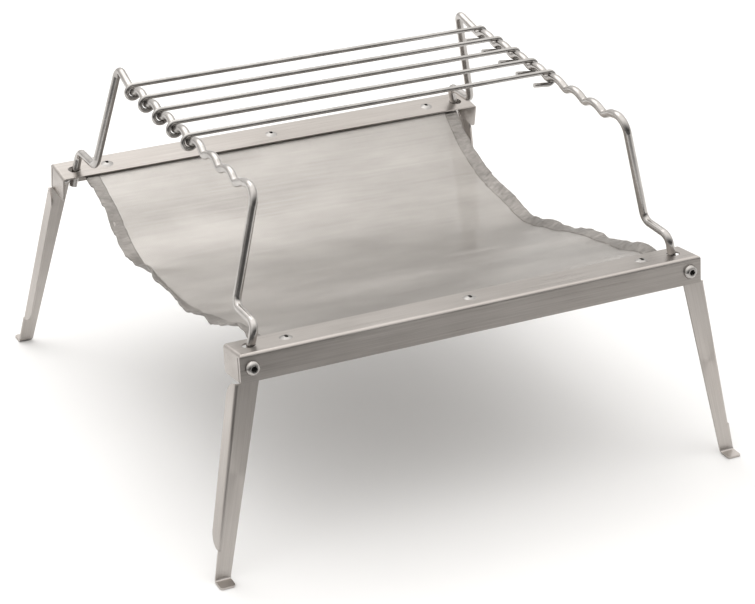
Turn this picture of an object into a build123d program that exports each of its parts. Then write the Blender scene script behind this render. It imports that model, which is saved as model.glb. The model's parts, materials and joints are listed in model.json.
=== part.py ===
from build123d import *
import math
import os

# Folding camp grill: two folded-sheet rails, four swinging legs, a woven mesh fire bed that
# hangs between the rails, and a lift-off cooking rack of two notched wire arms and five bars.
# X runs along the rails, Y from front (-) to back (+), Z up. The ground is Z = 0 and the
# origin is the middle of the footprint. All sizes are in millimetres.

# Rails: each has a top flange, an outer web and an end tab at both ends.
RAIL_LENGTH = 360.0
GRILL_DEPTH = 360.0
TOP_HEIGHT = 157.0
RAIL_TILT = 7.4
RAIL_WIDTH = 27.0
RAIL_DROP = 20.0
RAIL_SHEET = 1.2
RAIL_BEND = 2.5
TAB_CORNER = 3.0
TAB_SEAM = 0.9

# Legs: tapered angle section, turning on a bolt near each rail end.
PIVOT_INSET = 9.0
PIVOT_DROP = 10.5
LEG_SHEET = 1.5
LEG_BEND = 2.2
LEG_GAP = 0.15
LEG_HEAD_RADIUS = 6.5
LEG_STOP_GAP = 0.3
LEG_SPLAY_OUTER = 10.3
LEG_SPLAY_INNER = 12.7
LEG_TOP_WIDTH = 17.0
LEG_TOP_OUTER = 183.6
LEG_FLANGE_DEPTH = 13.0
LEG_FLANGE_LENGTH = 117.0
LEG_FLANGE_ROUND = 11.5
FOOT_LENGTH = 10.0
FOOT_BEND = 3.0
FOOT_CORNER = 2.0

# Pivot fasteners: M6 button head bolt, plain washer and thin lock nut.
BOLT_RADIUS = 3.0
BOLT_LENGTH = 9.8
BOLT_HEAD_RADIUS = 5.25
BOLT_HEAD_HEIGHT = 3.0
BOLT_SOCKET_FLATS = 4.0
BOLT_SOCKET_DEPTH = 2.1
PIVOT_CLEARANCE = 0.06
WASHER_RADIUS = 6.0
WASHER_THICKNESS = 1.0
NUT_FLATS = 10.0
NUT_HEIGHT = 3.4
NUT_COLLAR_RADIUS = 4.4
NUT_COLLAR_HEIGHT = 1.2

# Fire bed: mesh, edge bindings, clamp strips and 4.8 mm blind rivets.
MESH_WIDTH = 322.0
MESH_THICKNESS = 0.8
SLING_LIP = 2.5
SLING_BOTTOM = 113.5
SLING_BENDS = [10, 120, 180, 10]
BINDING_WIDTH = 10.0
BINDING_THICKNESS = 0.5
BINDING_SETBACK = 5.0
STRIP_LENGTH = 314.0
STRIP_WIDTH = 14.0
STRIP_THICKNESS = 1.2
STRIP_CORNER = 2.0
FIXING_LINE = 15.0
RIVET_SPACING = 139.5
RIVET_RADIUS = 2.4
RIVET_HEAD_RADIUS = 4.75
RIVET_HEAD_HEIGHT = 1.5
RIVET_TAIL_RADIUS = 3.4
RIVET_TAIL_LENGTH = 3.2
MANDREL_HOLE_RADIUS = 1.3
MANDREL_HOLE_DEPTH = 1.0

# Rack: 6 mm wire arms that lean in, and 3.5 mm wire bars.
ARM_RADIUS = 3.0
ARM_LEAN = 13.0
ARM_BASE_X = 165.0
ARM_HOLE_X = 166.5
ARM_HOLE_RADIUS = 4.9
ARM_TIP_DEPTH = 13.7
ARM_FOOT_RISE = 15.0
ARM_BEND = 7.0
NOTCH_COUNT = 8
NOTCH_PITCH = 26.7
FIRST_NOTCH_Y = 89.0
NOTCH_FLOOR = 89.5
NOTCH_FLANK = 25.0
NOTCH_ROUND = 5.0
CREST_ROUND = 16.0
BAR_COUNT = 5
BAR_RADIUS = 1.75
BAR_REST_GAP = 0.1
RING_RADIUS = 5.1
RING_TURN = 240.0
HOOK_RADIUS = 5.1
HOOK_TURN = 186.0
HOOK_TAIL = 11.5

# Places worked out from the sizes above.
TILT = math.radians(RAIL_TILT)
PIVOT_X = RAIL_LENGTH / 2 - PIVOT_INSET
LEG_OUTER_FACE = -RAIL_SHEET - LEG_GAP
LEG_INNER_FACE = LEG_OUTER_FACE - LEG_SHEET
MESH_TOP = -RAIL_SHEET
STRIP_TOP = MESH_TOP - MESH_THICKNESS
ARM_BASE_Y = GRILL_DEPTH / 2 - FIXING_LINE * math.cos(TILT)
ARM_BASE_Z = TOP_HEIGHT - FIXING_LINE * math.sin(TILT)

# The back rail's own frame: x along the rail, y outwards across the flange, z out of its top.
BACK = Plane(
    origin=(0, GRILL_DEPTH / 2, TOP_HEIGHT),
    x_dir=(1, 0, 0),
    z_dir=(0, -math.sin(TILT), math.cos(TILT)),
).location
HALF_TURN = Rot(0, 0, 180)


def place_back(shape):
    """Move a shape from the rail's own frame to the back of the grill."""
    return BACK * shape


def place_front(shape):
    """The front of the grill is the back turned half round the vertical axis."""
    return HALF_TURN * (BACK * shape)


def across_rail(x, z, start, stop, radius):
    """A round rod along the rail frame's y axis, from start to stop."""
    rod = Cylinder(radius, abs(stop - start))
    return Pos(x, (start + stop) / 2, z) * Rot(90, 0, 0) * rod


def down_rail(x, y, top, bottom, radius):
    """A round rod along the rail frame's z axis, from top to bottom."""
    return Pos(x, y, (top + bottom) / 2) * Cylinder(radius, top - bottom)


def rail_world(y, z):
    """World Y and Z of a point given in the back rail's own frame."""
    world_y = GRILL_DEPTH / 2 + y * math.cos(TILT) - z * math.sin(TILT)
    world_z = TOP_HEIGHT + y * math.sin(TILT) + z * math.cos(TILT)
    return world_y, world_z


def tube(path, radius):
    """A round wire along a path of straight runs and tangent arcs."""
    start = Plane(origin=path @ 0, z_dir=path % 0)
    return sweep(start * Circle(radius), path=path)


# ---- Rails -----------------------------------------------------------------------------

def make_rail():
    """Flange, outer web and two end tabs folded from one sheet, open below and inside."""
    middle_y = -RAIL_WIDTH / 2
    outside = Pos(0, middle_y, -RAIL_DROP / 2) * Box(RAIL_LENGTH, RAIL_WIDTH, RAIL_DROP)
    top_edges = outside.faces().sort_by(Axis.Z)[-1].edges()
    inner_edge = top_edges.sort_by(Axis.Y)[0]
    outside = fillet([edge for edge in top_edges if edge != inner_edge], RAIL_BEND)
    inside_length = RAIL_LENGTH - 2 * RAIL_SHEET
    inside = Pos(0, middle_y - RAIL_SHEET, -RAIL_DROP / 2 - RAIL_SHEET)
    hollow = inside * Box(inside_length, RAIL_WIDTH, RAIL_DROP)
    rail = outside - hollow
    for side in (-1, 1):
        tab_x = side * (RAIL_LENGTH - RAIL_SHEET) / 2
        seam_y = -RAIL_BEND - TAB_SEAM / 2
        seam_z = -RAIL_BEND - RAIL_DROP / 2
        rail -= Pos(tab_x, seam_y, seam_z) * Box(2 * RAIL_SHEET, TAB_SEAM, RAIL_DROP)
        square = Pos(tab_x, -RAIL_WIDTH, -RAIL_DROP) * Box(2 * RAIL_SHEET, 2 * TAB_CORNER, 2 * TAB_CORNER)
        round_y = -RAIL_WIDTH + TAB_CORNER
        round_z = -RAIL_DROP + TAB_CORNER
        round_rod = Pos(tab_x, round_y, round_z) * Rot(0, 90, 0) * Cylinder(TAB_CORNER, 2 * RAIL_SHEET)
        rail -= square - round_rod
        hole_radius = BOLT_RADIUS + PIVOT_CLEARANCE
        rail -= across_rail(side * PIVOT_X, -PIVOT_DROP, RAIL_SHEET, -3 * RAIL_SHEET, hole_radius)
        rail -= down_rail(side * ARM_HOLE_X, -FIXING_LINE, RAIL_SHEET, -3 * RAIL_SHEET, ARM_HOLE_RADIUS)
    for x in rivet_places():
        rail -= down_rail(x, -FIXING_LINE, RAIL_SHEET, -3 * RAIL_SHEET, RIVET_RADIUS)
    return rail


# ---- Legs ------------------------------------------------------------------------------

def leg_outline():
    """Corner points of the right leg's web in the rail frame, as (x, z) pairs."""
    shoulder = -RAIL_DROP - LEG_STOP_GAP
    bottom = -TOP_HEIGHT - 2 * FOOT_LENGTH
    outer_run = (shoulder - bottom) * math.tan(math.radians(LEG_SPLAY_OUTER))
    inner_run = (shoulder - bottom) * math.tan(math.radians(LEG_SPLAY_INNER))
    top_inner = LEG_TOP_OUTER - LEG_TOP_WIDTH
    inner_x = PIVOT_X - LEG_HEAD_RADIUS
    outer_x = PIVOT_X + LEG_HEAD_RADIUS
    return [
        (outer_x, -PIVOT_DROP),
        (outer_x, shoulder),
        (LEG_TOP_OUTER, shoulder),
        (LEG_TOP_OUTER + outer_run, bottom),
        (top_inner + inner_run, bottom),
        (top_inner, shoulder),
        (inner_x, -PIVOT_DROP),
    ]


def leg_web():
    """Web and turned-out foot: a bent profile cut to the leg's tapered outline."""
    outer_top = rail_world(LEG_OUTER_FACE, 0)
    inner_top = rail_world(LEG_INNER_FACE, 0)
    slope = math.tan(TILT)
    foot_y = outer_top[0] + (outer_top[1] - LEG_SHEET) * slope
    heel_y = inner_top[0] + inner_top[1] * slope
    foot_tip = foot_y + FOOT_LENGTH
    corners = [
        (outer_top[0], outer_top[1]),
        (foot_y, LEG_SHEET),
        (foot_tip, LEG_SHEET),
        (foot_tip, 0),
        (heel_y, 0),
        (inner_top[0], inner_top[1]),
    ]
    profile = make_face(Plane.YZ * Polyline(*corners, close=True))
    bend = extrude(profile, RAIL_LENGTH, dir=(1, 0, 0))
    foot_creases = [edge for edge in bend.edges().filter_by(Axis.X) if edge.center().Z < 2 * LEG_SHEET]
    creases = sorted(foot_creases, key=lambda edge: edge.center().Y)
    bend = fillet(creases[0], FOOT_BEND)
    inner_creases = [
        edge for edge in bend.edges().filter_by(Axis.X)
        if abs(edge.center().Z - LEG_SHEET) < 0.01 and edge.center().Y < foot_y + 0.1
    ]
    bend = fillet(inner_creases, FOOT_BEND - LEG_SHEET)
    outline = make_face(Plane.XZ * Polyline(*leg_outline(), close=True))
    outline = outline + Plane.XZ * Pos(PIVOT_X, -PIVOT_DROP) * Circle(LEG_HEAD_RADIUS)
    prism = extrude(outline, 3 * FOOT_LENGTH, both=True)
    web = (BACK * prism) & bend
    foot_end = web.faces().sort_by(Axis.Y)[-1]
    return fillet(foot_end.edges().filter_by(Axis.X, reverse=True), FOOT_CORNER)


def leg_edge_plane():
    """Plane of the leg's outer edge: x down the leg, y inwards under the rail, z into the web."""
    splay = math.radians(LEG_SPLAY_OUTER)
    return Plane(
        origin=(LEG_TOP_OUTER, LEG_OUTER_FACE, -RAIL_DROP - LEG_STOP_GAP),
        x_dir=(math.sin(splay), 0, -math.cos(splay)),
        z_dir=(-math.cos(splay), 0, -math.sin(splay)),
    )


def leg_flange():
    """The stiffening flange along the leg's outer edge, rounded at both free corners."""
    plate = Rectangle(LEG_FLANGE_LENGTH, LEG_FLANGE_DEPTH, align=(Align.MIN, Align.MIN))
    free_corners = plate.vertices().group_by(Axis.Y)[-1]
    plate = fillet(free_corners, LEG_FLANGE_ROUND)
    return extrude(leg_edge_plane() * plate, LEG_SHEET)


def leg_bend_waste():
    """The sliver outside the round of the fold between the leg's web and its flange."""
    middle = LEG_FLANGE_LENGTH / 2
    corner = Pos(middle, LEG_BEND / 2, LEG_BEND / 2) * Box(LEG_FLANGE_LENGTH, LEG_BEND, LEG_BEND)
    rod = Rot(0, 90, 0) * Cylinder(LEG_BEND, 2 * LEG_FLANGE_LENGTH)
    return leg_edge_plane() * (corner - Pos(middle, LEG_BEND, LEG_BEND) * rod)


def make_leg():
    """Right leg of the back rail, in world coordinates at the standing position."""
    leg = leg_web() + BACK * leg_flange()
    leg -= BACK * leg_bend_waste()
    hole_radius = BOLT_RADIUS + PIVOT_CLEARANCE
    hole = across_rail(PIVOT_X, -PIVOT_DROP, 0, -4 * LEG_SHEET, hole_radius)
    return leg - BACK * hole


# ---- Pivot fasteners -------------------------------------------------------------------

def make_bolt():
    """Button head bolt along +Z: the head sits on Z = 0 and the shank points down."""
    rim = 0.6
    crown = 2.9
    profile = make_face(
        Polyline((0, 0), (BOLT_HEAD_RADIUS, 0), (BOLT_HEAD_RADIUS, rim))
        + ThreePointArc(
            (BOLT_HEAD_RADIUS, rim),
            ((BOLT_HEAD_RADIUS + crown) / 2 + 0.35, (rim + BOLT_HEAD_HEIGHT) / 2 + 0.35),
            (crown, BOLT_HEAD_HEIGHT),
        )
        + Polyline((crown, BOLT_HEAD_HEIGHT), (0, BOLT_HEAD_HEIGHT), (0, 0))
    )
    head = revolve(Plane.XZ * profile, Axis.Z)
    socket = RegularPolygon(BOLT_SOCKET_FLATS / 2, 6, major_radius=False)
    head -= Pos(0, 0, BOLT_HEAD_HEIGHT - BOLT_SOCKET_DEPTH) * extrude(socket, BOLT_SOCKET_DEPTH)
    shank = Pos(0, 0, -BOLT_LENGTH / 2) * Cylinder(BOLT_RADIUS, BOLT_LENGTH)
    shank = chamfer(shank.edges().sort_by(Axis.Z)[0], 0.5)
    return head + shank


def make_washer():
    """Plain washer with its outer face on Z = 0, lying below it."""
    hole = BOLT_RADIUS + PIVOT_CLEARANCE
    ring = Cylinder(WASHER_RADIUS, WASHER_THICKNESS) - Cylinder(hole, WASHER_THICKNESS)
    return Pos(0, 0, -WASHER_THICKNESS / 2) * ring


def make_nut():
    """Thin lock nut with a round collar for its nylon ring, hanging below Z = 0."""
    hexagon = extrude(RegularPolygon(NUT_FLATS / 2, 6, major_radius=False), -NUT_HEIGHT)
    bevel = Pos(0, 0, -NUT_HEIGHT / 2) * Cylinder(NUT_FLATS / 2 + 0.5, NUT_HEIGHT)
    body = hexagon & chamfer(bevel.edges(), 0.6)
    collar_z = -NUT_HEIGHT - NUT_COLLAR_HEIGHT / 2
    collar = Pos(0, 0, collar_z) * Cylinder(NUT_COLLAR_RADIUS, NUT_COLLAR_HEIGHT)
    collar = fillet(collar.edges().sort_by(Axis.Z)[0], 0.5)
    return body + collar - Cylinder(BOLT_RADIUS + PIVOT_CLEARANCE, 4 * NUT_HEIGHT)


def at_pivots(shape, depth):
    """Four copies of a fastener, one on each pivot, depth being its place across the web."""
    copies = []
    for side in (-1, 1):
        seated = Pos(side * PIVOT_X, depth, -PIVOT_DROP) * Rot(-90, 0, 0) * shape
        copies.append(place_back(seated))
        copies.append(place_front(seated))
    return Compound(children=copies)


# ---- Fire bed --------------------------------------------------------------------------

def rivet_places():
    """Rivet positions along a rail."""
    return (-RIVET_SPACING, 0, RIVET_SPACING)


def sling_points():
    """Corner points of the mesh's line across the grill, as (Y, Z), from back to front."""
    middle = MESH_TOP - MESH_THICKNESS / 2
    strip_inner = -FIXING_LINE - STRIP_WIDTH / 2 - SLING_LIP
    strip_outer = -FIXING_LINE + STRIP_WIDTH / 2
    back_end = rail_world(strip_outer, middle)
    back_lip = rail_world(strip_inner, middle)
    return [
        back_end,
        back_lip,
        (64, SLING_BOTTOM),
        (8, SLING_BOTTOM),
        (-back_lip[0], back_lip[1]),
        (-back_end[0], back_end[1]),
    ]


def sling_solid(start_x, stop_x, thickness):
    """A ribbon of the sling between two X positions, with the given thickness."""
    middle = (start_x + stop_x) / 2
    path = Plane.YZ.offset(middle) * FilletPolyline(*sling_points(), radius=SLING_BENDS)
    section = Plane(origin=path @ 0, x_dir=(1, 0, 0), z_dir=path % 0)
    return sweep(section * Rectangle(stop_x - start_x, thickness), path=path)


def make_mesh():
    """The woven bed as one closed sheet, riveted under both flanges."""
    mesh = sling_solid(-MESH_WIDTH / 2, MESH_WIDTH / 2, MESH_THICKNESS)
    for x in rivet_places():
        hole = down_rail(x, -FIXING_LINE, 0, -4 * RAIL_SHEET, RIVET_RADIUS)
        mesh -= place_back(hole)
        mesh -= place_front(hole)
    return mesh


def make_binding(side):
    """Strip folded over one side edge of the mesh, between the two clamp strips."""
    outer = MESH_WIDTH / 2 + BINDING_THICKNESS
    inner = outer - BINDING_WIDTH
    thick = MESH_THICKNESS + 2 * BINDING_THICKNESS
    band = sling_solid(min(side * inner, side * outer), max(side * inner, side * outer), thick)
    core = sling_solid(-MESH_WIDTH / 2, MESH_WIDTH / 2, MESH_THICKNESS)
    clear_of_strips = 2 * (sling_points()[1][0] - BINDING_SETBACK)
    window = Pos(0, 0, TOP_HEIGHT) * Box(2 * RAIL_LENGTH, clear_of_strips, 2 * TOP_HEIGHT)
    return (band - core) & window


def make_strip():
    """Flat bar that clamps the mesh under a flange, in the rail frame."""
    outline = RectangleRounded(STRIP_LENGTH, STRIP_WIDTH, STRIP_CORNER)
    strip = Pos(0, -FIXING_LINE, STRIP_TOP) * extrude(outline, -STRIP_THICKNESS)
    for x in rivet_places():
        strip -= down_rail(x, -FIXING_LINE, 0, -4 * RAIL_SHEET, RIVET_RADIUS)
    return strip


def make_rivet():
    """Blind rivet: domed head above Z = 0 with its mandrel hole, and an upset tail below."""
    dome_radius = (RIVET_HEAD_RADIUS ** 2 + RIVET_HEAD_HEIGHT ** 2) / (2 * RIVET_HEAD_HEIGHT)
    ball = Pos(0, 0, RIVET_HEAD_HEIGHT - dome_radius) * Sphere(dome_radius)
    slab = Pos(0, 0, RIVET_HEAD_HEIGHT / 2) * Cylinder(RIVET_HEAD_RADIUS, RIVET_HEAD_HEIGHT)
    hole_z = RIVET_HEAD_HEIGHT - MANDREL_HOLE_DEPTH / 2
    head = (slab & ball) - Pos(0, 0, hole_z) * Cylinder(MANDREL_HOLE_RADIUS, MANDREL_HOLE_DEPTH)
    grip = -STRIP_TOP + STRIP_THICKNESS
    shank = Pos(0, 0, -grip / 2) * Cylinder(RIVET_RADIUS, grip)
    tail = Pos(0, 0, -grip - RIVET_TAIL_LENGTH / 2) * Cylinder(RIVET_TAIL_RADIUS, RIVET_TAIL_LENGTH)
    tail = fillet(tail.edges(), 1.2)
    return head + shank + tail


def make_rivets():
    """Six rivets, three through each flange."""
    copies = []
    for x in rivet_places():
        seated = Pos(x, -FIXING_LINE, 0) * make_rivet()
        copies.append(place_back(seated))
        copies.append(place_front(seated))
    return Compound(children=copies)


# ---- Rack ------------------------------------------------------------------------------

def arm_points():
    """Corner points of an arm in its own leaning plane, as (Y, height), with bend radii."""
    half_pitch = NOTCH_PITCH / 2
    flank = math.radians(NOTCH_FLANK)
    floor = NOTCH_FLOOR - NOTCH_ROUND * (1 / math.cos(flank) - 1)
    crest = floor + half_pitch * math.tan(flank)
    points = [(-ARM_BASE_Y, -ARM_TIP_DEPTH)]
    bends = []

    def add(y, height, radius):
        points.append((y, height))
        bends.append(radius)

    add(-ARM_BASE_Y, ARM_FOOT_RISE, ARM_BEND)
    add(-133.3, ARM_FOOT_RISE, ARM_BEND)
    add(-127.5, 97.5, 11.0)
    add(-108.5, crest - 1.0, 12.0)
    for index in reversed(range(NOTCH_COUNT)):
        y = FIRST_NOTCH_Y - index * NOTCH_PITCH
        add(y, floor, NOTCH_ROUND)
        if index > 0:
            add(y + half_pitch, crest, CREST_ROUND)
    add(121.6, 97.2, 6.5)
    add(130.5, ARM_FOOT_RISE, ARM_BEND)
    add(ARM_BASE_Y, ARM_FOOT_RISE, ARM_BEND)
    points.append((ARM_BASE_Y, -ARM_TIP_DEPTH))
    return points, bends


def make_arm(side):
    """One wire arm, standing in the rail holes and leaning in by ARM_LEAN degrees."""
    lean = math.radians(ARM_LEAN)
    plane = Plane(
        origin=(side * ARM_BASE_X, 0, ARM_BASE_Z),
        x_dir=(0, 1, 0),
        z_dir=(math.cos(lean), 0, side * math.sin(lean)),
    )
    points, bends = arm_points()
    return tube(plane * FilletPolyline(*points, radius=bends), ARM_RADIUS)


def make_bar(index):
    """One cooking bar: a ring round the left arm, and a hook with a tail on the right arm."""
    lean = math.radians(ARM_LEAN)
    y = FIRST_NOTCH_Y - index * NOTCH_PITCH
    notch_x = ARM_BASE_X - NOTCH_FLOOR * math.sin(lean)
    notch_z = ARM_BASE_Z + NOTCH_FLOOR * math.cos(lean)
    bar_z = notch_z + ARM_RADIUS + BAR_RADIUS + BAR_REST_GAP
    ring_x = -notch_x
    hook_x = notch_x
    ring = CenterArc((ring_x, bar_z - RING_RADIUS), RING_RADIUS, 90 + RING_TURN, -RING_TURN)
    run = Line((ring_x, bar_z), (hook_x, bar_z))
    hook = CenterArc((hook_x, bar_z - HOOK_RADIUS), HOOK_RADIUS, 90, -HOOK_TURN)
    end = hook @ 1
    heading = hook % 1
    tail = Line(end, end + heading * HOOK_TAIL)
    section = Plane(origin=(0, y, 0), x_dir=(1, 0, 0), z_dir=(0, -1, 0))
    return tube(section * Wire([ring.edge(), run.edge(), hook.edge(), tail.edge()]), BAR_RADIUS)


# ---- The whole grill -------------------------------------------------------------------

def build_nodes():
    """Every node of the grill by name."""
    rail = make_rail()
    right_leg = make_leg()
    left_leg = mirror(right_leg, about=Plane.YZ)
    strip = make_strip()
    washer_depth = LEG_INNER_FACE - LEG_GAP
    nodes = {
        "back_rail": place_back(rail),
        "front_rail": place_front(rail),
        "back_right_leg": right_leg,
        "back_left_leg": left_leg,
        "front_left_leg": HALF_TURN * right_leg,
        "front_right_leg": HALF_TURN * left_leg,
        "pivot_bolts": at_pivots(make_bolt(), 0),
        "pivot_washers": at_pivots(make_washer(), washer_depth),
        "pivot_lock_nuts": at_pivots(make_nut(), washer_depth - WASHER_THICKNESS),
        "fire_bed_mesh": make_mesh(),
        "left_edge_binding": make_binding(-1),
        "right_edge_binding": make_binding(1),
        "back_clamp_strip": place_back(strip),
        "front_clamp_strip": place_front(strip),
        "mesh_rivets": make_rivets(),
        "left_arm": make_arm(-1),
        "right_arm": make_arm(1),
    }
    for index in range(BAR_COUNT):
        nodes["cooking_bar_" + str(index + 1)] = make_bar(index)
    return nodes


os.makedirs("parts", exist_ok=True)
for name, shape in build_nodes().items():
    export_step(shape, "parts/" + name + ".step")
    print(name, round(shape.volume, 1), "mm3")
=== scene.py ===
import json
import math

import bpy
import numpy as np
from mathutils import Matrix, Vector, noise
from mathutils.bvhtree import BVHTree


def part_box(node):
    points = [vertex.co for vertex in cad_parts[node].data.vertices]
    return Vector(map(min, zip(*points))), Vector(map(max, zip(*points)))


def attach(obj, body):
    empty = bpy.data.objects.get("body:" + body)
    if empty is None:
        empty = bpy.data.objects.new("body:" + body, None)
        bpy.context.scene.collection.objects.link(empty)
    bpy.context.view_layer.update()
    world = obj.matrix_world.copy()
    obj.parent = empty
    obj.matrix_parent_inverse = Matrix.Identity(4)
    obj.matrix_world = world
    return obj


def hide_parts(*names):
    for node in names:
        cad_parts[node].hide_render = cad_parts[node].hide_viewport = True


# Looks of the folding camp grill: materials for the metal parts, the woven fire bed with its
# folded edges, soft studio light and a camera. Metres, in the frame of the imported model.

MM = 0.001

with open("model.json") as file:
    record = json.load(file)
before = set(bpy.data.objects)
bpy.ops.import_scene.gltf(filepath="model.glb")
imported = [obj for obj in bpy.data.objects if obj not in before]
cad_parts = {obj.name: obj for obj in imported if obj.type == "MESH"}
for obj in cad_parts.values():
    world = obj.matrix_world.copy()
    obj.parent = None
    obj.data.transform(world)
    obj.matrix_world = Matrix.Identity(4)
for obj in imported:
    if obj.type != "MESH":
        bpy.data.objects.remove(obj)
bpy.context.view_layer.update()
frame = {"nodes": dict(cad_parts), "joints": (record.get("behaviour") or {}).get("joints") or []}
NODES = frame["nodes"]

LEGS = ("front_left_leg", "front_right_leg", "back_left_leg", "back_right_leg")
BARS = [name for name in NODES if name.startswith("cooking_bar_")]

# One leg's hinge gives the place of all four pivots and how far the rails' faces lean.
LEG_HINGE = next(joint for joint in frame["joints"] if joint["name"] == "back_right_leg_fold")
PIVOT_X, PIVOT_Y, PIVOT_Z = LEG_HINGE["pos_m"]
RAIL_TILT = math.asin(LEG_HINGE["axis"][2])
# Mean lean of a leg's tapered web, outwards along its rail.
LEG_SPLAY = math.radians(11.5)


# ---- Wiring nodes ----------------------------------------------------------------------

WHITE = (1, 1, 1)
# Sockets of a mix node that mixes colours.
MIX_FACTOR, MIX_FIRST, MIX_SECOND, MIX_RESULT = 0, 6, 7, 2


class Wiring:
    """A node tree being wired up: short calls that add a node and return its output."""

    def __init__(self, tree):
        self.tree = tree

    def node(self, kind, **inputs):
        made = self.tree.nodes.new(kind)
        for key, value in inputs.items():
            self.feed(made.inputs[key.replace("_", " ")], value)
        return made

    def feed(self, socket, value):
        """Link an output to a socket, or set a constant on it."""
        if isinstance(value, bpy.types.NodeSocket):
            self.tree.links.new(value, socket)
        else:
            socket.default_value = value

    def math(self, operation, *values):
        made = self.tree.nodes.new("ShaderNodeMath")
        made.operation = operation
        for socket, value in zip(made.inputs, values):
            self.feed(socket, value)
        return made.outputs["Value"]

    def weigh(self, first, first_weight, second, second_weight):
        """Weighted sum of two values."""
        return self.math(
            "ADD",
            self.math("MULTIPLY", first, first_weight),
            self.math("MULTIPLY", second, second_weight),
        )

    def distance(self, across, along):
        """Length of a step of across one way and along the other."""
        square = self.math(
            "ADD",
            self.math("MULTIPLY", across, across),
            self.math("MULTIPLY", along, along),
        )
        return self.math("SQRT", square)

    def spread(self, value, low, high, from_low=0.3, from_high=0.7, smooth=False):
        """The range from_low to from_high laid over low to high."""
        made = self.node(
            "ShaderNodeMapRange",
            Value=value, From_Min=from_low, From_Max=from_high, To_Min=low, To_Max=high,
        )
        if smooth:
            made.interpolation_type = "SMOOTHSTEP"
        return made.outputs["Result"]

    def parts(self, vector):
        """Outputs X, Y and Z of a vector."""
        return self.node("ShaderNodeSeparateXYZ", Vector=vector).outputs

    def here(self, kind="Object"):
        """The shaded point on its object, or the direction of view for a world."""
        return self.node("ShaderNodeTexCoord").outputs[kind]


class Shader(Wiring):
    """A material being wired up."""

    def __init__(self, name, metallic):
        self.material = bpy.data.materials.new(name)
        self.material.use_nodes = True
        super().__init__(self.material.node_tree)
        self.surface = self.tree.nodes["Principled BSDF"]
        self.surface.inputs["Metallic"].default_value = metallic

    def grain(self, stretch, detail, turn=(0, 0, 0), rough=0.6):
        """Noise with so many waves per metre along each axis, on the object's axes once turned."""
        turned = self.node("ShaderNodeMapping", Vector=self.here(), Rotation=turn)
        place = self.node("ShaderNodeMapping", Vector=turned.outputs["Vector"], Scale=stretch)
        made = self.node(
            "ShaderNodeTexNoise",
            Vector=place.outputs["Vector"], Scale=1.0, Detail=detail, Roughness=rough,
        )
        return made.outputs["Fac"]

    def blend(self, value, first, second, mode="MIX"):
        """Mix of two colours, each an output or a tuple of red, green and blue."""
        made = self.node("ShaderNodeMix")
        made.data_type = "RGBA"
        made.blend_type = mode
        self.feed(made.inputs[MIX_FACTOR], value)
        for place, colour in ((MIX_FIRST, first), (MIX_SECOND, second)):
            self.feed(made.inputs[place], (*colour, 1) if isinstance(colour, tuple) else colour)
        return made.outputs[MIX_RESULT]

    def shade(self, colour, value, dark):
        """The colour times dark where value is 0, unchanged where it is 1."""
        return self.blend(1.0, colour, self.blend(value, dark, WHITE), "MULTIPLY")

    def bump(self, height, depth, strength, under=None):
        """Small relief of so many metres, over another relief if one is given."""
        made = self.node("ShaderNodeBump", Height=height, Distance=depth, Strength=strength)
        if under is not None:
            self.feed(made.inputs["Normal"], under)
        return made.outputs["Normal"]

    def finish(self, colour, roughness, normal):
        self.feed(self.surface.inputs["Base Color"], colour)
        self.feed(self.surface.inputs["Roughness"], roughness)
        self.feed(self.surface.inputs["Normal"], normal)
        return self.material


# ---- Materials of the metal parts ------------------------------------------------------

# Dark and light tone of each metal.
# Several tones are darker than bare stainless steel, and differ between parts of the same steel, so
# that each part comes out at its brightness under this studio's light: partly the metal's own colour,
# partly painted shade.
TONES = {
    "rail": ((0.385, 0.358, 0.337), (0.53, 0.50, 0.475)),
    "strip": ((0.42, 0.40, 0.385), (0.56, 0.54, 0.525)),
    "leg": ((0.45, 0.42, 0.395), (0.60, 0.57, 0.545)),
    "arm": ((0.37, 0.353, 0.338), (0.53, 0.51, 0.492)),
    "bar": ((0.33, 0.318, 0.306), (0.46, 0.445, 0.43)),
    "bolt": ((0.36, 0.345, 0.33), (0.52, 0.50, 0.485)),
    "washer": ((0.54, 0.53, 0.52), (0.68, 0.67, 0.66)),
    "nut": ((0.52, 0.51, 0.50), (0.66, 0.65, 0.64)),
    "rivet": ((0.32, 0.31, 0.30), (0.44, 0.425, 0.41)),
    "bed": ((0.41, 0.388, 0.366), (0.565, 0.538, 0.512)),
    # The hem's tones are darker than the bed's, though it is the same cloth: painted shade for the
    # light that its folded layers keep out.
    "hem": ((0.265, 0.249, 0.234), (0.43, 0.407, 0.385)),
}
SMUDGE = (0.86, 0.85, 0.84)
# Colour of the painted shade in the bolts' sockets and over the rivets' mandrel holes.
RECESS_SHADE = (0.035, 0.033, 0.031)
# Colour of the painted shade in the gaps between the woven wires.
WEAVE_GAP_SHADE = (0.55, 0.54, 0.53)
FOLD_SHADE = (0.72, 0.72, 0.72)
# How far the grain of brushed sheet draws a highlight out, from 0 to 1.
BRUSHED_DRAW = 0.62
WEAVE_PITCH = 0.9 * MM


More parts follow.
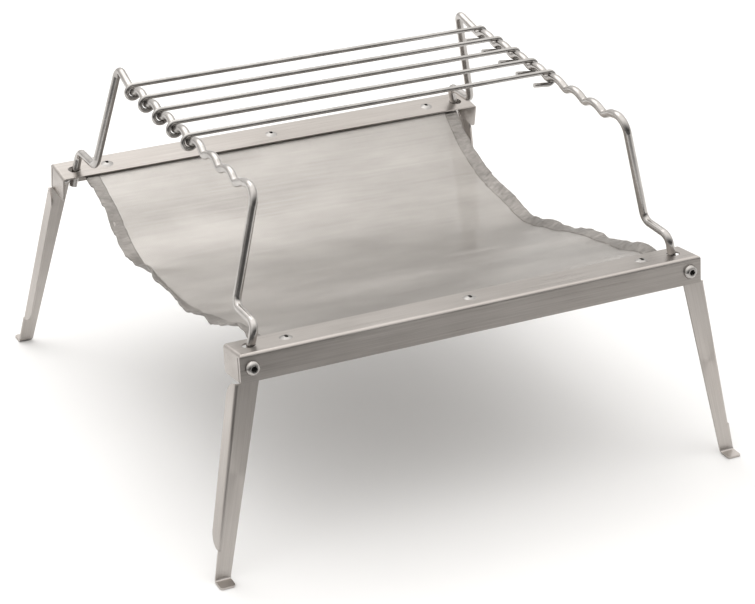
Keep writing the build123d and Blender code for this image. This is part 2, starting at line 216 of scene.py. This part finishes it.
def brushed_steel(name, tones, turn=(0, 0, 0), rough=(0.3, 0.46), spin_axis="X"):
    """Sheet with straight grain along its turned X, soft smudges and a highlight drawn out."""
    shader = Shader(name, metallic=1.0)
    fine = shader.grain((20, 1500, 1500), detail=5.0, turn=turn, rough=0.65)
    coarse = shader.grain((7, 380, 380), detail=2.0, turn=turn)
    smudge = shader.grain((9, 24, 24), detail=3.0, turn=turn)
    lines = shader.weigh(fine, 0.75, coarse, 0.25)
    streaks = shader.spread(lines, 0.0, 1.0)
    colour = shader.shade(shader.blend(streaks, *tones), shader.spread(smudge, 0.0, 1.0), SMUDGE)
    roughness = shader.math(
        "ADD",
        shader.spread(streaks, *rough, 0.0, 1.0),
        shader.spread(smudge, -0.04, 0.05),
    )
    tangent = shader.node("ShaderNodeTangent")
    tangent.direction_type = "RADIAL"
    tangent.axis = spin_axis
    shader.surface.inputs["Anisotropic"].default_value = BRUSHED_DRAW
    shader.feed(shader.surface.inputs["Tangent"], tangent.outputs["Tangent"])
    return shader.finish(colour, roughness, shader.bump(lines, 0.04 * MM, 0.5))


def drawn_wire(name, tones, turn=(0, 0, 0), rough=(0.13, 0.27)):
    """Bright drawn wire: faint lengthwise die lines and slightly cloudy polish."""
    shader = Shader(name, metallic=1.0)
    lines = shader.grain((12, 1600, 1600), detail=3.0, turn=turn)
    cloud = shader.grain((60, 60, 60), detail=3.0)
    pits = shader.grain((1500, 1500, 1500), detail=2.0)
    colour = shader.blend(shader.spread(cloud, 0.0, 1.0), *tones)
    roughness = shader.math("ADD", shader.spread(lines, *rough), shader.spread(cloud, -0.03, 0.04))
    height = shader.weigh(lines, 1.0, pits, 0.4)
    return shader.finish(colour, roughness, shader.bump(height, 0.03 * MM, 0.35))


def turned_steel(name, tones, rough=(0.24, 0.4), shade_distance=None, shade_radius=0.0):
    """Small hardware: fine machining marks, and a round spot of painted shade, standing in for the
    shade in a recess, around the place that the given distance measures from.
    """
    shader = Shader(name, metallic=1.0)
    marks = shader.grain((700, 1500, 700), detail=4.0)
    cloud = shader.grain((240, 240, 240), detail=3.0)
    colour = shader.blend(shader.spread(cloud, 0.0, 1.0), *tones)
    roughness = shader.math("ADD", shader.spread(marks, *rough), shader.spread(cloud, -0.04, 0.06))
    if shade_distance is not None:
        # Painted shade: the colour turns dark within the radius, standing in for the shade of a recess.
        painted_shade = shader.spread(shade_distance(shader), 1.0, 0.0, shade_radius * 0.9, shade_radius * 1.05)
        colour = shader.blend(painted_shade, colour, RECESS_SHADE)
        roughness = shader.math("ADD", roughness, shader.math("MULTIPLY", painted_shade, 0.3))
    return shader.finish(colour, roughness, shader.bump(marks, 0.03 * MM, 0.4))


def woven_steel(name, tones, rough=(0.3, 0.44), cover=1.0, crinkle=0.0):
    """Plain weave of fine wire: crossing rows that rise over and under each other."""
    shader = Shader(name, metallic=1.0)
    weave = shader.parts(shader.node("ShaderNodeUVMap").outputs["UV"])
    waves = [
        shader.math("SINE", shader.math("MULTIPLY", weave[axis], math.pi / WEAVE_PITCH))
        for axis in ("X", "Y")
    ]
    over = shader.math("GREATER_THAN", shader.math("MULTIPLY", *waves), 0.0)
    rows = shader.blend(over, *[shader.math("ABSOLUTE", wave) for wave in waves])
    cloud = shader.grain((7, 16, 16), detail=4.0)
    thread = shader.grain((2.5, 420, 420), detail=3.0, rough=0.7)
    tone = shader.weigh(cloud, 0.7, thread, 0.3)
    colour = shader.blend(shader.spread(tone, 0.0, 1.0, 0.38, 0.62), *tones)
    # Painted shade: darker between the wires, where the weave dips.
    colour = shader.shade(colour, shader.spread(rows, 0.0, 1.0, 0.05, 0.55), WEAVE_GAP_SHADE)
    roughness = shader.math("ADD", shader.spread(thread, *rough), shader.spread(cloud, -0.03, 0.03))
    relief = shader.bump(thread, 0.2 * MM, 0.2)
    if crinkle > 0:
        folds = shader.grain((90, 380, 380), detail=2.0)
        relief = shader.bump(folds, crinkle, 0.8, under=relief)
        colour = shader.shade(colour, shader.spread(folds, 0.0, 1.0), FOLD_SHADE)
    shader.surface.inputs["Alpha"].default_value = cover
    return shader.finish(colour, roughness, shader.bump(rows, 0.12 * MM, 0.8, under=relief))


def dress(material, *nodes):
    """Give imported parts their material."""
    for node in nodes:
        slots = NODES[node].data.materials
        if len(slots):
            for index in range(len(slots)):
                slots[index] = material
        else:
            slots.append(material)


dress(brushed_steel("rail_brushed_steel", TONES["rail"], rough=(0.25, 0.39)), "front_rail", "back_rail")
dress(brushed_steel("strip_brushed_steel", TONES["strip"]), "front_clamp_strip", "back_clamp_strip")
for name in LEGS:
    side = 1 if "right" in name else -1
    end = 1 if "back" in name else -1
    along_leg = (-end * RAIL_TILT, math.pi / 2 + side * LEG_SPLAY, 0)
    dress(brushed_steel(name + "_steel", TONES["leg"], turn=along_leg, spin_axis="Z"), name)
dress(drawn_wire("arm_wire_steel", TONES["arm"], turn=(0, 0, math.pi / 2)), "left_arm", "right_arm")
dress(drawn_wire("bar_wire_steel", TONES["bar"]), *BARS)

RIVET_PITCH = 139.5 * MM
# The painted shade on a rivet, a dark spot standing in for its mandrel hole, is this far inside the
# outer edge of its head. That is 1.5 mm further out than the middle of the real hole.
SPOT_INSET = 3.3 * MM
SPOT_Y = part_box("mesh_rivets")[1].y - SPOT_INSET
# Radii of the painted shade on the rivets and in the bolts' sockets.
SPOT_RADIUS = 1.35 * MM
SOCKET_RADIUS = 2.1 * MM


def bolt_recess(shader):
    """Distance from the nearest pivot bolt's axis, the middle of the painted shade in its socket."""
    at = shader.parts(shader.here())
    across = shader.math("SUBTRACT", shader.math("ABSOLUTE", at["X"]), PIVOT_X)
    out = shader.math("SUBTRACT", shader.math("ABSOLUTE", at["Y"]), PIVOT_Y)
    up = shader.math("SUBTRACT", at["Z"], PIVOT_Z)
    level = shader.weigh(up, math.cos(RAIL_TILT), out, -math.sin(RAIL_TILT))
    return shader.distance(across, level)


def rivet_spot(shader):
    """Distance from the middle of the nearest rivet's dark spot of painted shade."""
    at = shader.parts(shader.here())
    across = shader.math("WRAP", at["X"], RIVET_PITCH / 2, -RIVET_PITCH / 2)
    out = shader.math("SUBTRACT", shader.math("ABSOLUTE", at["Y"]), SPOT_Y)
    return shader.distance(across, out)


bolt_steel = turned_steel("bolt_steel", TONES["bolt"], (0.16, 0.28), bolt_recess, SOCKET_RADIUS)
rivet_metal = turned_steel("rivet_aluminium", TONES["rivet"], (0.34, 0.48), rivet_spot, SPOT_RADIUS)
dress(bolt_steel, "pivot_bolts")
dress(turned_steel("washer_steel", TONES["washer"]), "pivot_washers")
dress(turned_steel("nut_steel", TONES["nut"]), "pivot_lock_nuts")
dress(rivet_metal, "mesh_rivets")


# ---- Fire bed --------------------------------------------------------------------------

MESH_NODE = "fire_bed_mesh"
GRID_STEP = 2 * MM
SHEET_THICKNESS = 0.6 * MM
# Share of the bed that its wires cover. The rest lets light through.
WIRE_COVER = 0.78

mesh_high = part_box(MESH_NODE)[1]
HALF_WIDTH = mesh_high.x
HALF_DEPTH = mesh_high.y
RAIL_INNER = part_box("back_rail")[0].y
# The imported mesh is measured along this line, which misses the rivet holes.
PROBE_X = 31 * MM
PROBE_INSET = 0.4 * MM
PROBE_COUNT = 1200
PROBE_HEIGHT = 1


def sling_height():
    """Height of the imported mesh's middle surface at any Y."""
    data = NODES[MESH_NODE].data
    tree = BVHTree.FromPolygons([v.co for v in data.vertices], [p.vertices for p in data.polygons])

    def height(y):
        top = tree.ray_cast(Vector((PROBE_X, y, PROBE_HEIGHT)), Vector((0, 0, -1)))[0]
        bottom = tree.ray_cast(Vector((PROBE_X, y, -PROBE_HEIGHT)), Vector((0, 0, 1)))[0]
        return (top.z + bottom.z) / 2

    return height


def sling_line():
    """Points (y, z) at an even spacing along the mesh from back to front, and its length."""
    height = sling_height()
    ys = np.linspace(HALF_DEPTH - PROBE_INSET, -HALF_DEPTH + PROBE_INSET, PROBE_COUNT)
    zs = np.array([height(y) for y in ys])
    run = np.concatenate([[0], np.cumsum(np.hypot(np.diff(ys), np.diff(zs)))])
    count = int(round(run[-1] / GRID_STEP)) + 1
    even = np.linspace(0, run[-1], count)
    return np.interp(even, run, ys), np.interp(even, run, zs), run[-1]


def ease(value, low, high):
    """Smooth step from 0 at low to 1 at high."""
    t = min(max((value - low) / (high - low), 0), 1)
    return t * t * (3 - 2 * t)


def wander(*place):
    """Smooth noise between about -1 and 1. The last coordinate picks the pattern."""
    return noise.noise(Vector(place))


def smooth_curve(*points):
    """A smooth function through a few (place, value) points, flat beyond its ends."""
    places, values = zip(*sorted(points))
    slopes = np.gradient(np.array(values), np.array(places))

    def curve(place):
        if place <= places[0]:
            return values[0]
        if place >= places[-1]:
            return values[-1]
        i = int(np.searchsorted(places, place)) - 1
        span = places[i + 1] - places[i]
        t = (place - places[i]) / span
        start = (1 + 2 * t) * (1 - t) ** 2 * values[i] + t * (1 - t) ** 2 * span * slopes[i]
        stop = t * t * (3 - 2 * t) * values[i + 1] + t * t * (t - 1) * span * slopes[i + 1]
        return start + stop

    return curve


HEM_WIDTH = 10 * MM
HEM_THICKNESS = 1.7 * MM
# How far inside the hem's outer edge the bed's own edge ends, hidden in the fold.
INSIDE_HEM = 2.5 * MM
# The hem is gathered in tucks of about this length.
TUCK_LENGTH = 24 * MM
# How far each side of the cloth hangs above (+) or below (-) the plain sling, by Y, in mm.
HANG = {
    -1: smooth_curve(
        (-158, 0), (-130, 1), (-90, 0), (-40, -2), (20, 0), (79, -1), (125, 0.5), (154, 0),
    ),
    1: smooth_curve(
        (-158, 0), (-130, 1), (-91, 0.8), (-34, -2), (22, -4.5), (59, -2.5), (84, -6),
        (108, -10), (130, -9), (146, -4), (156, 0),
    ),
}
# How far the folded edge curls up from its inner line, by Y, in mm.
CURL = {
    -1: smooth_curve(
        (-154, 0), (-146, 3.5), (-130, 5), (-109, 2), (-86, 0), (-66, 4), (-40, 2.5), (-10, 6.5),
        (20, 6), (42, 8), (60, 4.5), (76, 1.5), (100, 0.5), (130, 2), (152, 0),
    ),
    1: smooth_curve(
        (-154, 0), (-144, 3), (-119, 4.5), (-98, 0.5), (-75, 2.5), (-40, 1), (-6, 4.5), (24, 2.5),
        (45, 4.5), (77, 4.5), (100, 4), (128, 3), (150, 0),
    ),
}
# Limit on the sine of the curl's angle.
STEEPEST_CURL = 0.9
# The cloth is held flat at the rails and moves freely this far from them.
HELD_NEAR_RAIL = 34 * MM
RIPPLE = 2.1 * MM
CREASE = 0.45 * MM
# The folded edges gather the cloth in pulls, which fade out towards its middle.
PULL = 2.5 * MM
PULL_FULL = 4 * MM
PULL_GONE = 52 * MM


def drape(x, y):
    """How far the real sheet lies above (+) or below (-) the plain sling."""
    free = 1 - ease(abs(y), RAIL_INNER - HELD_NEAR_RAIL, RAIL_INNER - 1 * MM)
    side = x / HALF_WIDTH
    left = HANG[-1](y / MM) * MM * ease(-side, -0.5, 1.0)
    right = HANG[1](y / MM) * MM * ease(side, -0.7, 1.0)
    ripple = RIPPLE * wander(x * 8 + y * 5 + 3, y * 16 - x * 4, 0.5)
    crease = CREASE * wander(x * 22 + y * 12, y * 38 - x * 8, 2.5)
    edge = 1 - ease(HALF_WIDTH - abs(x), PULL_FULL, PULL_GONE)
    pull = PULL * wander(x * 6 + (7 if x > 0 else 0), y * 52 - abs(x) * 22, 6.5)
    return left + right + free * (ripple + crease + edge * pull)


line_y, line_z, line_length = sling_line()
line_runs = np.linspace(0, line_length, len(line_y))
FOLD_X = HALF_WIDTH - HEM_WIDTH


def sheet_point(across, index, proud=0.0):
    """A point of the cloth: across is its flat distance from the middle, index its place along
    the sling and proud its height off the cloth."""
    y = line_y[index]
    side = 1 if across > 0 else -1
    if abs(across) <= FOLD_X:
        return Vector((across, y, line_z[index] + drape(across, y) + proud))
    beyond = abs(across) - FOLD_X
    rise = CURL[side](y / MM) * MM / HEM_WIDTH
    angle = math.asin(min(max(rise, -STEEPEST_CURL), STEEPEST_CURL))
    start = Vector((side * FOLD_X, y, line_z[index] + drape(side * FOLD_X, y)))
    bend = angle * ease(beyond, -1 * MM, 3 * MM)
    along = Vector((side * math.cos(bend), 0, math.sin(bend)))
    away = Vector((-side * math.sin(bend), 0, math.cos(bend)))
    return start + along * beyond + away * proud


def place_object(name, data):
    """A new object in the scene."""
    made = bpy.data.objects.new(name, data)
    bpy.context.scene.collection.objects.link(made)
    return made


def new_piece(name, points, faces, material):
    data = bpy.data.meshes.new(name)
    data.from_pydata([tuple(p) for p in points], [], faces)
    data.validate()
    for polygon in data.polygons:
        polygon.use_smooth = True
    piece = place_object(name, data)
    data.materials.append(material)
    return piece


def lay_uv(piece, positions):
    """UV in metres: u across the grill, v along the sling."""
    layer = piece.data.uv_layers.new(name="weave")
    for loop in piece.data.loops:
        layer.data[loop.index].uv = positions[loop.vertex_index]


def make_cloth():
    """The woven bed between its two folded edges."""
    edge = HALF_WIDTH - INSIDE_HEM
    columns = int(round(2 * edge / GRID_STEP)) + 1
    rows = len(line_y)
    points, positions, faces = [], [], []
    for row in range(rows):
        for x in np.linspace(-edge, edge, columns):
            points.append(sheet_point(x, row))
            positions.append((x, line_runs[row]))
    for row in range(rows - 1):
        for column in range(columns - 1):
            corner = row * columns + column
            faces.append((corner, corner + columns, corner + columns + 1, corner + 1))
    material = woven_steel("fire_bed_weave", TONES["bed"], cover=WIRE_COVER)
    cloth = new_piece("fire_bed_cloth", points, faces, material)
    lay_uv(cloth, positions)
    solid = cloth.modifiers.new("thickness", "SOLIDIFY")
    solid.thickness = SHEET_THICKNESS
    solid.offset = 0
    return cloth


# The hem's section: part of its width, and part of its thickness up or down.
HEM_TOP = (
    (0.00, 0.34), (0.05, 0.46), (0.2, 0.5), (0.42, 0.46), (0.66, 0.5), (0.86, 0.47), (0.97, 0.33),
)
HEM_RING = (*HEM_TOP, (1.0, 0.0), *[(across, -up) for across, up in reversed(HEM_TOP)])


def hem_ring(side, row):
    """One section of a hem: its points and their places on the weave."""
    y = line_y[row]
    crinkle = wander(side * 5, y * 85, 1.0)
    flutter = wander(side * 3, y * 230, 4.0)
    free = 1 - ease(abs(y), RAIL_INNER - 14 * MM, RAIL_INNER)
    tuck = (y / TUCK_LENGTH + 0.9 * wander(side * 9, y * 18, 2.0) + 10) % 1
    scallop = 0.4 - abs(wander(side * 7, y * 62, 8.0)) * 1.6
    inner = FOLD_X + (0.4 * flutter - 0.3) * MM
    outer = HALF_WIDTH + (0.7 + 0.7 * crinkle + 0.3 * flutter - 1.1 * free * tuck) * MM
    points, positions = [], []
    for across, up in HEM_RING:
        swell = 1 + 0.3 * free * wander(across * 3 + side, y * 120, 9.0)
        lift = free * 0.45 * MM * wander(across * 2.5 + side * 4, y * 140, 3.0)
        lift += free * across ** 2 * (1.7 * scallop + 0.8 * tuck - 0.4) * MM
        flat = side * (inner + (outer - inner) * across)
        points.append(sheet_point(flat, row, lift + up * HEM_THICKNESS * swell))
        positions.append((flat + up * 1.5 * MM, line_runs[row]))
    return points, positions


def make_hem(name, side):
    """The side edge of the cloth folded over itself and pressed: a crinkled, swollen band."""
    start = next(i for i, y in enumerate(line_y) if y < RAIL_INNER + 2 * MM)
    rows = range(start, len(line_y) - start)
    points, positions, faces = [], [], []
    for row in rows:
        ring_points, ring_positions = hem_ring(side, row)
        points += ring_points
        positions += ring_positions
    size = len(HEM_RING)
    for row in range(len(rows) - 1):
        near, far = row * size, (row + 1) * size
        for place in range(size):
            nearby = (place + 1) % size
            faces.append((near + place, near + nearby, far + nearby, far + place))
    last = (len(rows) - 1) * size
    faces.append(tuple(range(size))[::-1])
    faces.append(tuple(range(last, last + size)))
    if side > 0:
        faces = [face[::-1] for face in faces]
    material = woven_steel(name + "_weave", TONES["hem"], rough=(0.36, 0.52), crinkle=0.9 * MM)
    hem = new_piece(name, points, faces, material)
    lay_uv(hem, positions)
    return hem


cloth = make_cloth()
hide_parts(MESH_NODE)
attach(cloth, "frame")
for name, side, node in (
    ("left_hem", -1, "left_edge_binding"),
    ("right_hem", 1, "right_edge_binding"),
):
    hem = make_hem(name, side)
    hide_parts(node)
    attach(hem, "frame")


# ---- Floor, light and camera -----------------------------------------------------------

CAMERA_AZIMUTH = math.radians(-26.87)
CAMERA_ELEVATION = math.radians(26.07)
CAMERA_ROLL = math.radians(0.508)
CAMERA_DISTANCE = 1.8618
CAMERA_TARGET = Vector((0, 0, 0.096))
# How far the camera stands right of and above the line to its target.
CAMERA_SLIDE = (0.0111, -0.0154)
LENS = 117.66
SENSOR_WIDTH = 36.0

FLOOR_HALF = 6.0
FLOOR_DROP = 0.2 * MM
FLOOR_PALE = ((0.86, 0.86, 0.86), (0.88, 0.88, 0.88))
# Colour of the painted shade on the floor in front of the grill.
FLOOR_PAINTED_SHADE = (0.07, 0.07, 0.07)
# Between these distances from the middle, towards the camera, the floor's colour turns to painted
# shade.
DIM_START = 0.36
DIM_END = 0.62

KEY_PLACE = Vector((-0.1, 0.55, 1.05))
KEY_TARGET = Vector((0, 0.05, 0.1))
KEY_SIZE = (0.9, 0.7)
KEY_POWER = 2.2

STUDIO_WHITE = (1.0, 0.985, 0.965)
# Strength of the light from in front, from behind, and added from straight above.
FRONT_LIGHT = 0.09
BACK_LIGHT = 0.84
TOP_LIGHT = 0.95


def make_floor():
    """Pale paper whose colour turns dark towards the camera, beyond the picture: painted shade for the
    dim front of the room.
    """
    square = ((-1, -1), (1, -1), (1, 1), (-1, 1))
    data = bpy.data.meshes.new("floor")
    corners = [(x * FLOOR_HALF, y * FLOOR_HALF, -FLOOR_DROP) for x, y in square]
    data.from_pydata(corners, [], [(0, 1, 2, 3)])
    floor = place_object("floor", data)
    shader = Shader("floor_paper", metallic=0.0)
    cloud = shader.grain((1.5, 1.5, 1.5), detail=3.0)
    pale = shader.blend(shader.spread(cloud, 0.0, 1.0), *FLOOR_PALE)
    at = shader.parts(shader.here())
    forward = shader.weigh(at["X"], math.sin(CAMERA_AZIMUTH), at["Y"], -math.cos(CAMERA_AZIMUTH))
    # Painted shade: the paper's colour darkens towards the camera.
    colour = shader.blend(shader.spread(forward, 0.0, 1.0, DIM_START, DIM_END), pale, FLOOR_PAINTED_SHADE)
    data.materials.append(shader.finish(colour, 0.9, shader.bump(cloud, 0.1 * MM, 0.05)))


def make_world():
    """A pale studio: brightest overhead, lit backdrop behind the grill, dim room in front of it."""
    world = bpy.data.worlds.new("studio")
    bpy.context.scene.world = world
    world.use_nodes = True
    sky = Wiring(world.node_tree)
    background = sky.tree.nodes["Background"]
    background.inputs["Color"].default_value = (*STUDIO_WHITE, 1)
    way = sky.parts(sky.here("Generated"))
    behind = sky.spread(way["Y"], FRONT_LIGHT, BACK_LIGHT, -0.94, -0.1, smooth=True)
    above = sky.spread(way["Z"], 0.0, TOP_LIGHT, 0.1, 1.0, smooth=True)
    sky.feed(background.inputs["Strength"], sky.math("ADD", behind, above))


def make_key_light():
    """One soft lamp above and behind the grill."""
    light = bpy.data.lights.new("key", "AREA")
    light.shape = "RECTANGLE"
    light.size, light.size_y = KEY_SIZE
    light.energy = KEY_POWER
    lamp = place_object("key", light)
    lamp.location = KEY_PLACE
    lamp.rotation_euler = (KEY_TARGET - KEY_PLACE).to_track_quat("-Z", "Y").to_euler()


def make_camera():
    """Perspective camera looking from the front left, with a slight roll."""
    back = Vector((
        math.sin(CAMERA_AZIMUTH) * math.cos(CAMERA_ELEVATION),
        -math.cos(CAMERA_AZIMUTH) * math.cos(CAMERA_ELEVATION),
        math.sin(CAMERA_ELEVATION),
    ))
    right = Vector((math.cos(CAMERA_AZIMUTH), math.sin(CAMERA_AZIMUTH), 0))
    up = back.cross(right)
    rolled_right = right * math.cos(CAMERA_ROLL) + up * math.sin(CAMERA_ROLL)
    rolled_up = up * math.cos(CAMERA_ROLL) - right * math.sin(CAMERA_ROLL)
    place = CAMERA_TARGET + back * CAMERA_DISTANCE
    place += rolled_right * CAMERA_SLIDE[0] + rolled_up * CAMERA_SLIDE[1]
    data = bpy.data.cameras.new("camera")
    data.sensor_fit = "HORIZONTAL"
    data.sensor_width = SENSOR_WIDTH
    data.lens = LENS
    camera = place_object("camera", data)
    turn = Matrix((rolled_right, rolled_up, back)).transposed().to_4x4()
    camera.matrix_world = Matrix.Translation(place) @ turn
    bpy.context.scene.camera = camera


bpy.context.scene.view_settings.view_transform = "Standard"
make_floor()
make_world()
make_key_light()
make_camera()
